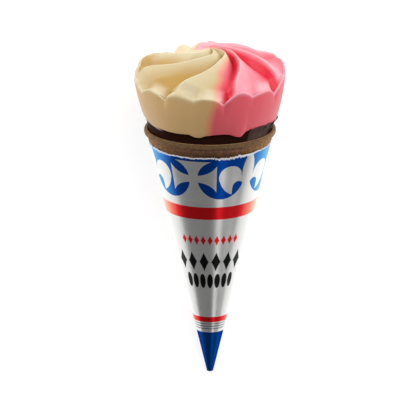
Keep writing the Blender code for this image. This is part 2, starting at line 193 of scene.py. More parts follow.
# How far the painted light takes the colour toward its palest.
CREST_HIGHLIGHT_STRENGTH = 0.55

# Rows and columns of the mesh. The rows crowd toward an edge by a power.
CREAM_COLUMNS = 300
FILLING_ROWS = 12
TUCK_ROWS = 8
WALL_ROWS = 60
TOP_ROWS = 130
LAST_REACH = 0.012
CROWDING_POWER = 1.5
SHARP_ANGLE = math.radians(50.0)

lip_low, lip_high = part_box("wafer_cone")
AXIS_X = (lip_low.x + lip_high.x) / 2.0 * 1000.0
RIM_Y = lip_high.y * 1000.0 - LIP_TOP_RADIUS * math.sin(CONE_SLOPE)


def lying(r, angle, height):
    """Places on the cone as points of the lying part, in metres.

    The part across the axis is r sin(angle) to the right and r cos(angle) to the front.
    The axis climbs from the tip at the cone's slope, and what would sink into the
    table is pressed flat on it.
    """
    r, angle, height = np.broadcast_arrays(r, angle, height)
    turn = np.radians(angle)
    front = r * np.cos(turn)
    x = AXIS_X + r * np.sin(turn)
    y = RIM_Y + height * math.cos(CONE_SLOPE) - front * math.sin(CONE_SLOPE)
    z = AXIS_LIFT + height * math.sin(CONE_SLOPE) + front * math.cos(CONE_SLOPE)
    return np.stack((x, y, np.maximum(z, 0.0)), axis=-1) / 1000.0


def ramp(share):
    """An even step from 0 to 1 with level ends: three squares less two cubes."""
    share = np.clip(share, 0.0, 1.0)
    return share * share * (3.0 - 2.0 * share)


def step(position, start, end):
    """The ramp from 0 at a start to 1 at an end, which may lie on either side of it."""
    return ramp((position - start) / (end - start))


def along(line, position):
    """Read a line of (place, value) points at many places.

    Between two points the value follows a cubic. Its slope at a point is the harmonic
    mean of the slopes of the chords on both sides, or level where the line turns back,
    so the line has no corners and never swings past its points.
    """
    places, values = np.array(line).T
    chords = np.diff(values) / np.diff(places)
    before, after = chords[:-1], chords[1:]
    turns_back = before * after <= 0.0
    means = 2.0 * before * after / np.where(turns_back, 1.0, before + after)
    slopes = np.concatenate((chords[:1], np.where(turns_back, 0.0, means), chords[-1:]))
    position = np.clip(position, places[0], places[-1])
    index = np.clip(np.searchsorted(places, position, side="right") - 1, 0, len(places) - 2)
    span = places[index + 1] - places[index]
    t = (position - places[index]) / span
    return (
        (2 * t**3 - 3 * t**2 + 1) * values[index]
        + (t**3 - 2 * t**2 + t) * span * slopes[index]
        + (3 * t**2 - 2 * t**3) * values[index + 1]
        + (t**3 - t**2) * span * slopes[index + 1]
    )


def round_line(line, angle):
    """Read a line of points whose places go once round the cone, at angles of any size."""
    return along(line, (angle + 180.0) % 360.0 - 180.0)


def lobe_share(angle):
    """How far an untwisted angle lies through its lobe, from one groove (0) to the next (1)."""
    return ((angle + round_line(LOBE_SHIFT, angle) - FIRST_GROOVE) / LOBE_ANGLE) % 1.0


def wall_surface(angle, rise):
    """The upright wall: radius and height at an angle and a share of the way up.

    The radius grows from the foot with a power of the height. A sharp-bottomed flute,
    the square of one minus the size of a sine, is pressed in under every notch and
    fades downwards. The edge is a row of arches, each a power of a sine, one tall and
    one low to each lobe, and the wall turns over into it by a quarter of a circle.
    """
    share = lobe_share(angle)
    wave = np.abs(np.sin(2 * math.pi * share))
    is_tall = share < 0.5
    notch = (1.0 - wave) ** 2
    size = round_line(ARCH_SIZE, angle)
    is_minor = (share > 0.25) & (share < 0.75)
    flute = np.where(is_minor, MINOR_FLUTE, MAJOR_FLUTE) * notch * size
    foot = np.where(is_minor, MINOR_NOTCH_RISE, 0.0)
    arch = (foot + (np.where(is_tall, TALL_ARCH, LOW_ARCH) - foot) * wave**ARCH_POWER) * size
    top = NOTCH_HEIGHT + arch + round_line(RIM_RISE, angle)
    bottom = round_line(LOWER_EDGE, angle)
    top_radius = WALL_TOP_RADIUS - round_line(BACK_NARROWING, angle)
    height = bottom + (top - bottom) * rise
    body = NOTCH_HEIGHT + BODY_ARCH_SHARE * TALL_ARCH * size + round_line(RIM_RISE, angle) - bottom
    climb = np.maximum(height - bottom, 0.0) / body
    radius = WALL_FOOT_RADIUS + (top_radius - WALL_FOOT_RADIUS) * climb**WALL_POWER
    radius = radius + WALL_BULGE * np.sin(math.pi * np.minimum(climb, 1.0))
    rounding = round_line(EDGE_ROUNDING, angle)
    over = np.clip(1.0 - (top - height) / rounding, 0.0, 1.0)
    radius = radius - rounding * (1.0 - np.sqrt(1.0 - over**2))
    return radius - flute * rise**FLUTE_FADE_POWER, height


def rosette_surface(angle, reach):
    """The twisted top: radius and height at an untwisted angle and a share of the way out.

    The height is that of the crest line less the lobe's fall, which is straight and
    steep from the groove to the crest and then a long slope. Near the edge it runs
    into the arches. Third comes the painted shade, which takes the colour toward the
    groove colour: full on most of the steep face, growing with a power down the long
    slope, and faint at its foot and in the middle of the vanilla. It is stronger or
    weaker round the cone, and the left lobes get a little of the groove colour away
    from the middle. Fourth comes the painted light, at the palest places: a thin
    highlight along the crest, the foot of the long slope and the back.
    """
    edge_radius, edge_height = wall_surface(angle, np.ones_like(reach))
    r = edge_radius * reach
    share = lobe_share(angle)
    crest = along(CREST_SHARE_LINE, r)
    steep = 1.0 - share / crest
    long_slope = (np.clip(share - crest, 0.0, 1.0) / (1.0 - crest)) ** LONG_SLOPE_POWER
    fall = np.where(share < crest, steep, long_slope)
    lobe_depth = round_line(LOBE_DEPTH, angle)
    swirl = along(CREST_LINE, r) - along(DEPTH_LINE, r) * fall * lobe_depth
    swirl = swirl + RIM_SHARE_ON_TOP * round_line(RIM_RISE, angle) * step(r, *RIM_RING)
    middle = np.exp(-(((r - MIDDLE_RISE_RADIUS) / MIDDLE_RISE_SPREAD) ** 2))
    swirl = swirl + round_line(MIDDLE_RISE, angle + along(TWIST_LINE, r)) * middle
    valley = np.exp(-(((share - 0.5) / MINOR_VALLEY_WIDTH) ** 2))
    swirl = swirl - MINOR_VALLEY * valley * step(r, *MINOR_VALLEY_RING)
    height = edge_height + (swirl - edge_height) * ramp((edge_radius - r) / EDGE_BLEND)

    # The foot of the long slope near the edge, where light is painted and the painted shade is fainter.
    foot = step(share, *FOOT_START_SHARES) * step(share, *FOOT_END_SHARES) * step(r, *FOOT_RING)
    foot = foot * step(angle, *FOOT_LEFT) * step(angle, *FOOT_RIGHT)
    faint = long_slope**LONG_SLOPE_SHADE_POWER * (1.0 - FOOT_FAINTNESS * foot)
    # Painted shade: how far the colour goes toward the deeper groove colour.
    shade_depth = np.where(share < crest, np.minimum(steep * STEEP_SHADE, 1.0), faint)
    middle = step(r, *MIDDLE_FAINT_RING) * step(angle, *MIDDLE_FAINT_SIDE)
    shade_depth = shade_depth * (1.0 - MIDDLE_FAINTNESS * middle)
    least = round_line(LEAST_COLOUR, angle) * step(r, *LEAST_COLOUR_RING)
    shade_depth = shade_depth * round_line(SHADE_STRENGTH, angle) + least

    # A painted highlight along the crest, and painted light on the foot and the back.
    from_crest = np.radians((share - crest) * LOBE_ANGLE) * r
    crest_highlight = np.exp(-((from_crest / CREST_HIGHLIGHT_WIDTH) ** 2)) * step(r, *CREST_HIGHLIGHT_INNER_RING)
    crest_highlight = crest_highlight * step(r, *CREST_HIGHLIGHT_OUTER_RING) * step(np.abs(angle), *CREST_HIGHLIGHT_BACK)
    back = VANILLA_BACK_PAINTED_LIGHT * step(angle, *VANILLA_BACK)
    back = back + STRAWBERRY_BACK_PAINTED_LIGHT * step(angle, *STRAWBERRY_BACK)
    painted_light = np.maximum(FOOT_PAINTED_LIGHT * foot, back)
    return r, height, shade_depth, np.maximum(crest_highlight, painted_light)


def flavour_share(angle, join, r):
    """How much strawberry colours a place, from its untwisted angle and the front join's.

    The colour steps across both joins, over a given width along the surface. The back
    join runs aside toward the middle, where a little vanilla colour lies on the
    strawberry's side.
    """
    front = np.radians(angle - join) * r / FRONT_BLEND
    back_join = along(BACK_JOIN_LINE, r)
    back = np.radians(back_join - angle) * r / BACK_BLEND
    left = np.radians(angle - (back_join - 360.0)) * r / BACK_BLEND
    return ramp(np.minimum(front, back) + 0.5) + ramp(0.5 - left)


def cream_grid(start, end):
    """All rows of one flavour between two untwisted angles, from its tip in the cone to the top's middle.

    Returns the places and four marks, which are values by name: groove is how much
    shade is painted at a place, wall is 1 where shade is painted on the upright wall,
    flavour is how much strawberry is in the colour, and crest is 1 at the palest
    places, where light is painted.
    """
    straight = np.linspace(start, end, CREAM_COLUMNS)[None, :]
    flat = np.ones_like(straight)
    filling = np.linspace(0.0, 1.0, FILLING_ROWS)[:, None]
    filling_r = FILLING_TIP_RADIUS + (FILLING_MOUTH_RADIUS - FILLING_TIP_RADIUS) * filling
    filling_height = FILLING_END * (1.0 - filling)
    foot_r, foot_height = wall_surface(straight, np.zeros((1, 1)))
    neck_r = np.array([[FILLING_MOUTH_RADIUS], [TUCK_RADIUS]]) * flat
    neck_height = np.vstack((FILLING_MOUTH_HEIGHT * flat, foot_height - NECK_DROP))
    tuck = np.linspace(0.0, 1.0, TUCK_ROWS)[:, None]
    tuck_r = TUCK_RADIUS + (foot_r - TUCK_RADIUS) * np.sin(tuck * math.pi / 2.0)
    tuck_height = foot_height - TUCK_DROP * (1.0 - tuck**3)
    rise = 1.0 - (1.0 - np.linspace(0.0, 1.0, WALL_ROWS)[:, None]) ** CROWDING_POWER
    wall_r, wall_height = wall_surface(straight, rise)
    reach = np.linspace(1.0, LAST_REACH, TOP_ROWS)[1:, None]
    top_r, top_height, top_shade, top_highlight = rosette_surface(straight, reach * flat)

    r = np.vstack((filling_r * flat, neck_r, tuck_r, wall_r[1:], top_r))
    height = np.vstack((filling_height * flat, neck_height, tuck_height, wall_height[1:], top_height))
    below_top = np.zeros((len(r) - len(top_r), CREAM_COLUMNS))
    twist = np.vstack((below_top, along(TWIST_LINE, top_r)))
    groove = np.vstack((below_top, top_shade))
    crest = np.vstack((below_top, top_highlight))
    wall_share = below_top[:, :1].copy()
    wall_share[1 - len(rise):] = rise[1:]
    wall_share = np.vstack((wall_share, np.ones((len(top_r), 1)))) * flat
    join = np.where(wall_share < 1.0, along(JOIN_WALL_LINE, wall_share), along(JOIN_TOP_LINE, r))
    strawberry = flavour_share(straight, join, r)
    # Shade painted on the upright wall, fading out toward its top edge.
    wall_step = WALL_SHADE_STEP + WALL_SHADE_STEP_BY_ROUNDING * round_line(EDGE_ROUNDING, straight)
    wall = ramp((1.0 - wall_share) / wall_step)
    marks = {"groove": groove, "wall": wall, "flavour": strawberry, "crest": crest}
    return lying(r, straight + twist, height), marks


def new_object(name, data):
    """Put an object with this data into the scene."""
    added = bpy.data.objects.new(name, data)
    bpy.context.scene.collection.objects.link(added)
    return added


def new_piece(name, points, faces, marks):
    """Make a smooth object from points and faces, with each mark as an attribute of its points."""
    mesh = bpy.data.meshes.new(name)
    mesh.from_pydata(points.tolist(), [], faces)
    mesh.shade_smooth()
    mesh.set_sharp_from_angle(angle=SHARP_ANGLE)
    for title, values in marks.items():
        attribute = mesh.attributes.new(title, "FLOAT", "POINT")
        attribute.data.foreach_set("value", values.astype(np.float32))
    return new_object(name, mesh)


def cream_piece(name, start, end):
    """Make one flavour: the surface between its two joins, closed by two flat walls that meet on the axis."""
    places, marks = cream_grid(start, end)
    rows, columns = places.shape[:2]
    spine = (places[:, 0] + places[:, -1]) / 2.0
    spine[:, 0] = AXIS_X / 1000.0
    points = np.vstack((places.reshape(-1, 3), spine))
    ids = np.arange(rows * columns).reshape(rows, columns)
    axis_ids = rows * columns + np.arange(rows)
    quads = np.stack((ids[:-1, :-1], ids[:-1, 1:], ids[1:, 1:], ids[1:, :-1]), axis=-1).reshape(-1, 4)
    front_wall = np.stack((axis_ids[:-1], ids[:-1, 0], ids[1:, 0], axis_ids[1:]), axis=-1)
    back_wall = np.stack((ids[:-1, -1], axis_ids[:-1], axis_ids[1:], ids[1:, -1]), axis=-1)
    tip_fan = np.stack((ids[0, 1:], ids[0, :-1], np.full(columns - 1, axis_ids[0])), axis=-1)
    top_fan = np.stack((ids[-1, :-1], ids[-1, 1:], np.full(columns - 1, axis_ids[-1])), axis=-1)
    faces = quads.tolist() + front_wall.tolist() + back_wall.tolist() + tip_fan.tolist() + top_fan.tolist()
    marks = {title: np.concatenate((values.ravel(), values[:, 0])) for title, values in marks.items()}
    return new_piece(name, points, faces, marks)


def shade(red, green, blue):
    """A display colour, each part from 0 to 255, as the linear colour that a shader takes."""
    parts = np.array((red, green, blue)) / 255.0
    linear = np.where(parts <= 0.04045, parts / 12.92, ((parts + 0.055) / 1.055) ** 2.4)
    return (*linear.tolist(), 1.0)


def new_material(name):
    """A material with one Principled shader; gives the material, its tree and the shader."""
    material = bpy.data.materials.new(name)
    material.use_nodes = True
    return material, material.node_tree, material.node_tree.nodes["Principled BSDF"]


def set_inputs(node, values):
    """Set a node's inputs by name."""
    for title, value in values.items():
        node.inputs[title].default_value = value


def put(tree, kind, *inputs, **settings):
    """Add a node, set its properties by name and its inputs in order; None leaves one as it is."""
    node = tree.nodes.new(kind)
    for key, value in settings.items():
        setattr(node, key, value)
    for socket, value in zip(node.inputs, inputs):
        if isinstance(value, bpy.types.NodeSocket):
            tree.links.new(value, socket)
        elif value is not None:
            socket.default_value = value
    return node


def mixed(tree, share, first, second):
    """Blend two colours by a share and give the colour socket."""
    node = tree.nodes.new("ShaderNodeMix")
    node.data_type = "RGBA"
    for socket, value in ((node.inputs[0], share), (node.inputs[6], first), (node.inputs[7], second)):
        if isinstance(value, bpy.types.NodeSocket):
            tree.links.new(value, socket)
        else:
            socket.default_value = value
    return node.outputs[2]


def calc(tree, operation, *values):
    """Add one Math node and give its output."""
    return put(tree, "ShaderNodeMath", *values, operation=operation).outputs[0]


def read_mark(tree, title):
    """The value that an attribute of the points has at a place."""
    return put(tree, "ShaderNodeAttribute", attribute_name=title).outputs["Fac"]


def noise(tree, where, scale, detail):
    """Noise from 0 to 1, of a scale per metre and a number of finer layers."""
    return put(tree, "ShaderNodeTexNoise", where, None, scale, detail).outputs["Fac"]


def roughen(tree, shader, relief, strength, distance):
    """Turn the shader's normals as if the surface were raised by a relief."""
    bump = put(tree, "ShaderNodeBump", strength, distance)
    tree.links.new(relief, bump.inputs["Height"])
    tree.links.new(bump.outputs["Normal"], shader.inputs["Normal"])


def cream_material(name):
    """Frozen cream: painted highlights on the crests, painted shade in the grooves, orange where the flavours
    meet.
    """
    material, tree, shader = new_material(name)
    flavour = read_mark(tree, "flavour")
    groove = read_mark(tree, "groove")
    wall = read_mark(tree, "wall")
    # Painted shade for each flavour: a deeper colour in the grooves and on the steep faces, and a darker one
    # on the wall.
    vanilla = mixed(tree, groove, shade(206, 193, 156), shade(181, 144, 76))
    vanilla = mixed(tree, wall, vanilla, shade(205, 167, 114))
    strawberry = mixed(tree, groove, shade(224, 148, 160), shade(220, 30, 56))
    strawberry = mixed(tree, wall, strawberry, shade(219, 88, 99))
    # Painted light: the crest mark takes each flavour toward a paler colour.
    crest = calc(tree, "MULTIPLY", read_mark(tree, "crest"), CREST_HIGHLIGHT_STRENGTH)
    vanilla = mixed(tree, crest, vanilla, shade(236, 222, 196))
    strawberry = mixed(tree, crest, strawberry, shade(250, 206, 208))
    colour = mixed(tree, flavour, vanilla, strawberry)
    both = calc(tree, "MULTIPLY", flavour, calc(tree, "SUBTRACT", 1.0, flavour))
    tree.links.new(mixed(tree, both, colour, shade(240, 140, 88)), shader.inputs["Base Color"])
    where = put(tree, "ShaderNodeTexCoord").outputs["Object"]
    roughen(tree, shader, noise(tree, where, 900.0, 3.0), 0.12, 0.0002)
    set_inputs(shader, {"Roughness": 0.42, "Specular IOR Level": 0.4})
    return material


vanilla_cream = cream_piece("vanilla_rosette_half", BACK_SPLIT - 360.0, FRONT_SPLIT)
vanilla_cream.data.materials.append(cream_material("vanilla_cream"))
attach(vanilla_cream, "root")
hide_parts("vanilla_ice_cream")

strawberry_cream = cream_piece("strawberry_rosette_half", FRONT_SPLIT, BACK_SPLIT)
strawberry_cream.data.materials.append(cream_material("strawberry_cream"))
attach(strawberry_cream, "root")
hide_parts("strawberry_ice_cream")


# Chocolate lining
# A thin coat of dark chocolate, sprayed into the wafer before the ice cream goes in.
# It stands above the rim as a collar. At the right its broken edge and a flap lean
# outwards, in front of the ice cream, and a grey reflection is painted on a part of it.
# At the left a highlight is painted along the collar's edge.

SLEEVE_RADIUS_AT_RIM = 27.67
SLEEVE_WALL = 0.47
LAYER_GAP = 0.38
WAFER_WALL = 1.6
MOUTH_DEPTH = 8.5
LIP_INNER_RADIUS = 26.95
LINING_WALL = 0.75
LINING_END = -95.2
LINING_INNER_END = -86.0
OUTER_TIP_BULGE = 0.3
INNER_TIP_BULGE = 0.4
OUTER_LEVELS = (LINING_END, -60.0, -30.0, -12.0, -9.0, -5.5, -2.5)
INNER_LEVELS = (-5.5, -9.0, -30.0, -60.0, LINING_INNER_END)

# The collar. A ripple is sines of (count, height, start), and a bell is (angle, spread, size).
COLLAR_WALL = 0.4
COLLAR_RADIUS = 27.2
COLLAR_GAP = 0.12
COLLAR_RIPPLE = ((23, 0.06, 0.4), (41, 0.04, 1.0))
COLLAR_CHIPS = (
    (40.5, 1.0, 0.35), (48.0, 1.2, -0.15), (57.0, 1.1, 0.8), (62.0, 2.0, -0.15), (69.5, 1.5, 0.95),
)
LEFT_STAND = (-76.0, 24.0, 0.95)
BROKEN_LEFT = (34.5, 37.0)
BROKEN_RIGHT = (86.0, 76.0)
BROKEN_STAND = 1.7
BROKEN_RISE = 0.3
FLAP = (92.0, 14.0, 2.0)
FLAP_RISE = 0.25
FLAP_TOP_SHARES = (0.6, 1.0)
# Where a grey reflection is painted at the right, and where a highlight is painted along the collar's edge at
# the left.
SHEEN_LEFT = (36.0, 38.0)
SHEEN_RIGHT = (71.0, 63.0)
EDGE_HIGHLIGHT_LEFT = (-110.0, -102.0)
EDGE_HIGHLIGHT_RIGHT = (-46.0, -60.0)
EDGE_HIGHLIGHT_TOP = (0.3, 0.6)
EDGE_HIGHLIGHT_FOOT = (1.7, 1.1)
ROUND_COLUMNS = 360
COLLAR_ROWS = 22
EDGE_POINTS = 7


def cup_piece(name, rows_r, rows_height, tip_heights, marks):
    """A closed cup round the axis, from its outer tip over its rim to its inner tip.

    rows_r and rows_height are arrays with one line for each row and one column for
    each angle. Each strip between rows is closed all round, and a fan closes each tip.
    """
    rows, columns = rows_r.shape
    angle = np.arange(columns) * 360.0 / columns
    places = lying(rows_r, angle[None, :], rows_height).reshape(-1, 3)
    tips = lying(np.zeros(2), 0.0, np.array(tip_heights))
    points = np.vstack((places, tips))
    ids = np.arange(rows * columns).reshape(rows, columns)
    after = np.roll(ids, -1, axis=1)
    quads = np.stack((ids[:-1], after[:-1], after[1:], ids[1:]), axis=-1).reshape(-1, 4)
    first = np.stack((after[0], ids[0], np.full(columns, rows * columns)), axis=-1)
    last = np.stack((ids[-1], after[-1], np.full(columns, rows * columns + 1)), axis=-1)
    faces = quads.tolist() + first.tolist() + last.tolist()
    marks = {title: np.append(values.ravel(), (0.0, 0.0)) for title, values in marks.items()}
    return new_piece(name, points, faces, marks)


def sleeve_radius(height):
    """Outer radius of the sleeve's straight cone at a height."""
    return SLEEVE_RADIUS_AT_RIM + math.tan(CONE_SLOPE) * height


def wafer_inner(height):
    """Inner radius of the wafer, which widens into its mouth."""
    deep = sleeve_radius(height) - SLEEVE_WALL - LAYER_GAP - WAFER_WALL
    return deep + (LIP_INNER_RADIUS - deep) * ramp((height + MOUTH_DEPTH) / MOUTH_DEPTH)


def ripple(angle, waves):
    """A sum of sines round the cone; each wave is its count, its height and its start in radians."""
    turn = np.radians(angle)
    return sum(size * np.sin(count * turn + start) for count, size, start in waves)


def bell(angle, place, spread, size):
    """A rise round one angle: its size times e to the minus square of the distance in spreads."""
    return size * np.exp(-(((angle - place) / spread) ** 2))


def lining_rows():
    """Rows of the lining, from its tip up the outside, over the collar's edge and down the inside.

    The collar's top follows the lower edge of the ice cream, less small chips, and is
    higher on the broken stretch and the flap at the right. The collar leans outwards
    with the square of its height, there and at the left. Third come two marks: sheen
    is 1 where a grey reflection is painted on it, and pale is 1 along the stretch of
    its edge at the left where a highlight is painted.
    """
    around = np.arange(ROUND_COLUMNS) * 360.0 / ROUND_COLUMNS
    around = (around + 180.0) % 360.0 - 180.0
    broken = step(around, *BROKEN_LEFT) * step(around, *BROKEN_RIGHT)
    flap = bell(around, *FLAP)
    top = along(LOWER_EDGE, around) - COLLAR_GAP + ripple(around, COLLAR_RIPPLE)
    top = top - sum(bell(around, *chip) for chip in COLLAR_CHIPS) + BROKEN_RISE * broken
    top = top + FLAP_RISE * step(flap / FLAP[2], *FLAP_TOP_SHARES)
    stand_off = bell(around, *LEFT_STAND) + np.maximum(BROKEN_STAND * broken, flap)
    deep = np.array(OUTER_LEVELS)[:, None] * np.ones_like(around)
    collar = 1.0 - (1.0 - np.linspace(0.0, 1.0, COLLAR_ROWS)[:, None]) ** CROWDING_POWER
    outer_foot = LIP_INNER_RADIUS - LAYER_GAP
    collar_r = outer_foot + (COLLAR_RADIUS - outer_foot) * collar + stand_off * collar**2
    collar_height = top * collar
    edge_turn = np.linspace(0.0, math.pi, EDGE_POINTS)[1:-1, None]
    edge_r = collar_r[-1:] - COLLAR_WALL / 2.0 * (1.0 - np.cos(edge_turn))
    edge_height = collar_height[-1:] + COLLAR_WALL / 2.0 * np.sin(edge_turn)
    inner_r = collar_r[::-1] - COLLAR_WALL
    inner_height = collar_height[::-1]
    back = np.array(INNER_LEVELS)[:, None] * np.ones_like(around)
    back_r = wafer_inner(back) - LAYER_GAP - LINING_WALL
    r = np.vstack((wafer_inner(deep) - LAYER_GAP, collar_r, edge_r, inner_r, back_r))
    height = np.vstack((deep, collar_height, edge_height, inner_height, back))
    # The painted grey reflection, and the painted highlight along the edge at the left.
    sheen = step(around, *SHEEN_LEFT) * step(around, *SHEEN_RIGHT) * np.ones_like(r)
    below_edge = collar_height[-1:] - height
    painted_light = step(around, *EDGE_HIGHLIGHT_LEFT) * step(around, *EDGE_HIGHLIGHT_RIGHT)
    painted_light = painted_light * step(below_edge, *EDGE_HIGHLIGHT_TOP) * step(below_edge, *EDGE_HIGHLIGHT_FOOT)
    return r, height, {"sheen": sheen, "painted_light": painted_light}


def ranged(tree, value, low, high, first, last):
    """Turn the range of a value into another, from first at low to last at high, and held beyond."""
    return put(tree, "ShaderNodeMapRange", value, low, high, first, last).outputs[0]


def chocolate_material():
    """Dark chocolate: nearly black, a painted grey reflection where it has come away, a lumpy skin."""
    material, tree, shader = new_material("dark_chocolate")
    where = put(tree, "ShaderNodeTexCoord").outputs["Object"]
    lumps = noise(tree, where, 260.0, 4.0)
    patches = noise(tree, where, 60.0, 2.0)
    colour = mixed(tree, patches, shade(27, 12, 8), shade(50, 25, 18))
    # A grey reflection painted where the collar has come away.
    sheen_colour = mixed(tree, lumps, shade(54, 40, 36), shade(92, 72, 66))
    colour = mixed(tree, read_mark(tree, "sheen"), colour, sheen_colour)
    # A highlight painted along the collar's edge at the left.
    colour = mixed(tree, read_mark(tree, "painted_light"), colour, shade(214, 192, 178))
    tree.links.new(colour, shader.inputs["Base Color"])
    tree.links.new(ranged(tree, patches, 0.3, 0.7, 0.3, 0.5), shader.inputs["Roughness"])
    roughen(tree, shader, lumps, 0.35, 0.0004)
    set_inputs(shader, {"Specular IOR Level": 0.2, "Specular Tint": (1.0, 0.72, 0.55, 1.0), "IOR": 1.1})
    return material


lining_r, lining_height, lining_marks = lining_rows()
lining_tips = (LINING_END - OUTER_TIP_BULGE, LINING_INNER_END - INNER_TIP_BULGE)
lining = cup_piece("chocolate_collar", lining_r, lining_height, lining_tips, lining_marks)
lining.data.materials.append(chocolate_material())
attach(lining, "root")
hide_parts("chocolate_lining")


# Wafer cone
# A thin sheet of baked batter, rolled hot into a cone. Its mouth has a flat lip with a
# rounded edge, and under the lip a rougher band runs round before the cone goes into
# its sleeve.

LIP_RADIUS = 28.3
LIP_HEIGHT = 2.1
LIP_RIPPLE = ((3, 0.08, 1.2), (8, 0.05, 0.3), (29, 0.03, 2.0))
LIP_RIPPLE_UPWARD = 0.5
LIP_FLATNESS = 0.7
LIP_ROUNDING = 0.75
BAND_RADIUS = 26.55
BAND_BOTTOM = -5.05
BAND_STEP = 0.25
BAND_HOLLOW = 0.45
BAND_ARC_START = 0.08
BAND_ARC = 0.9
FURROW_DEPTH = 0.08
FURROW_TURN = 16.0
CRUMB_RIPPLE = ((47, 0.035, 0.0), (71, 0.03, 1.5), (113, 0.02, 0.7))
WAFER_END = -104.5
WAFER_INNER_END = -96.0
WAFER_OUTER_LEVELS = (WAFER_END, -70.0, -40.0, -15.0, BAND_BOTTOM - BAND_STEP)
WAFER_INNER_LEVELS = (0.0, -1.2, -2.5, -5.5, -9.0, -40.0, WAFER_INNER_END)
LIP_ROWS = 16


def wafer_rows():
    """Rows of the wafer, from its tip up the outside, over the lip and down the inside.

    The band is hollow, by the square root of a sine over its height, with fine furrows.
    The lip's side follows powers of a sine and of a cosine. Third come two marks: level
    is the height, which is read for the fine lines in the skin, and band is 1 below the
    lip.
    """
    around = (np.arange(ROUND_COLUMNS) * 360.0 / ROUND_COLUMNS)[None, :]
    flat = np.ones_like(around)
    uneven = ripple(around, LIP_RIPPLE)
    deep = np.array(WAFER_OUTER_LEVELS)[:, None] * flat
    deep_r = sleeve_radius(deep) - SLEEVE_WALL - LAYER_GAP
    up = np.linspace(0.0, 1.0, LIP_ROWS)[:, None]
    band_height = (BAND_BOTTOM + (-LIP_HEIGHT - BAND_STEP - BAND_BOTTOM) * up) * flat
    arc = np.sin(math.pi * (up * BAND_ARC + BAND_ARC_START)) ** 0.5
    band_r = BAND_RADIUS - BAND_HOLLOW * (1.0 - arc) + ripple(around, CRUMB_RIPPLE)
    band_r = band_r + FURROW_DEPTH * np.sin(up * FURROW_TURN)
    side = np.linspace(-1.0, 1.0, LIP_ROWS)[:, None] * math.pi / 2.0
    lip_height = LIP_HEIGHT / 2.0 * (np.sign(side) * np.abs(np.sin(side)) ** LIP_FLATNESS - 1.0)
    lip_height = lip_height + LIP_RIPPLE_UPWARD * uneven
    lip_r = LIP_RADIUS - LIP_ROUNDING * (1.0 - np.cos(side) ** 0.5) + uneven
    inside = np.array(WAFER_INNER_LEVELS)[:, None] * flat
    rows_r = np.vstack((deep_r, band_r, lip_r, wafer_inner(inside)))
    rows_height = np.vstack((deep, band_height, lip_height, inside))
    band = np.zeros_like(rows_r)
    band[:len(deep) + len(up)] = 1.0
    return rows_r, rows_height, {"level": rows_height, "band": band}


def wafer_material():
    """Baked wafer: an olive brown lip with fine lines along it, over a redder and rougher band.

    The band is painted lighter just under the lip, against the shade that the lip casts
    on it, and light is painted on both where they turn away.
    """
    material, tree, shader = new_material("baked_wafer")
    where = put(tree, "ShaderNodeTexCoord").outputs["Object"]
    level = read_mark(tree, "level")
    toast = noise(tree, where, 150.0, 3.0)
    crumbs = noise(tree, where, 1500.0, 3.0)
    layers = put(tree, "ShaderNodeTexNoise", None, level, 2.4, 3.0, noise_dimensions="1D").outputs["Fac"]
    line = ranged(tree, layers, 0.42, 0.6, 0.0, 1.0)
    lip_colour = mixed(tree, line, shade(87, 67, 43), shade(134, 105, 68))
    toasted = ranged(tree, toast, 0.54, 0.66, 0.0, 0.8)
    band_colour = mixed(tree, line, shade(74, 50, 28), shade(110, 76, 48))
    band_colour = mixed(tree, toasted, band_colour, shade(160, 98, 44))
    # Light painted on the band just under the lip, against the shade that the lip casts.
    under_lip_light = ranged(tree, level, -4.1, -2.6, 0.0, 0.9)
    band_colour = mixed(tree, under_lip_light, band_colour, shade(186, 138, 114))
    # Light painted where the band and the lip turn away.
    facing = put(tree, "ShaderNodeLayerWeight", 0.5).outputs["Facing"]
    band_edge_light = ranged(tree, facing, 0.12, 0.6, 0.0, 0.55)
    band_colour = mixed(tree, band_edge_light, band_colour, shade(196, 142, 84))
    baked = mixed(tree, read_mark(tree, "band"), lip_colour, band_colour)
    edge_light = ranged(tree, facing, 0.3, 0.9, 0.0, 0.7)
    baked = mixed(tree, edge_light, baked, shade(190, 146, 98))
    speckle = ranged(tree, crumbs, 0.35, 0.65, 0.0, 0.6)
    tree.links.new(mixed(tree, speckle, baked, shade(62, 38, 24)), shader.inputs["Base Color"])
    roughen(tree, shader, crumbs, 0.5, 0.0003)
    set_inputs(shader, {"Roughness": 0.8, "Specular IOR Level": 0.2})
    return material


wafer_r, wafer_height, wafer_marks = wafer_rows()
wafer_tips = (WAFER_END - OUTER_TIP_BULGE, WAFER_INNER_END - INNER_TIP_BULGE)
wafer = cup_piece("rolled_wafer", wafer_r, wafer_height, wafer_tips, wafer_marks)
wafer.data.materials.append(wafer_material())
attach(wafer, "root")
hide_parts("wafer_cone")


# Foil sleeve
# Paper-backed foil rolled round the cone and printed in blue and red: a frieze of
# crosses and lilies under the torn edge, two red bands, rows of small ornaments, and
# a blue tip. The tear leaves a line of bare white paper along the upper edge.

SLEEVE_TIP = -108.9
SLEEVE_TIP_BULGE = 0.5
SLEEVE_INNER_END = -105.4
SLEEVE_INNER_BULGE = 0.2
TORN_EDGE = (
    (-180, -5.9), (-100, -5.6), (-76, -5.4), (-60, -5.9), (-44, -6.4), (0, -6.3),
    (22, -6.2), (39, -5.9), (65, -5.6), (90, -5.5), (180, -5.9),
)
TOOTH_SIZE = (
    (-180, 0.3), (-70, 0.35), (-50, 0.14), (0, 0.1), (6, 0.38), (28, 0.4),
    (38, 0.16), (60, 0.16), (80, 0.35), (180, 0.3),
)
PAPER_WIDTH = (
    (-180, 0.7), (-75, 0.8), (-60, 0.9), (-40, 0.5), (0, 0.45), (14, 0.9),
    (38, 0.9), (52, 0.5), (80, 0.5), (180, 0.7),
)

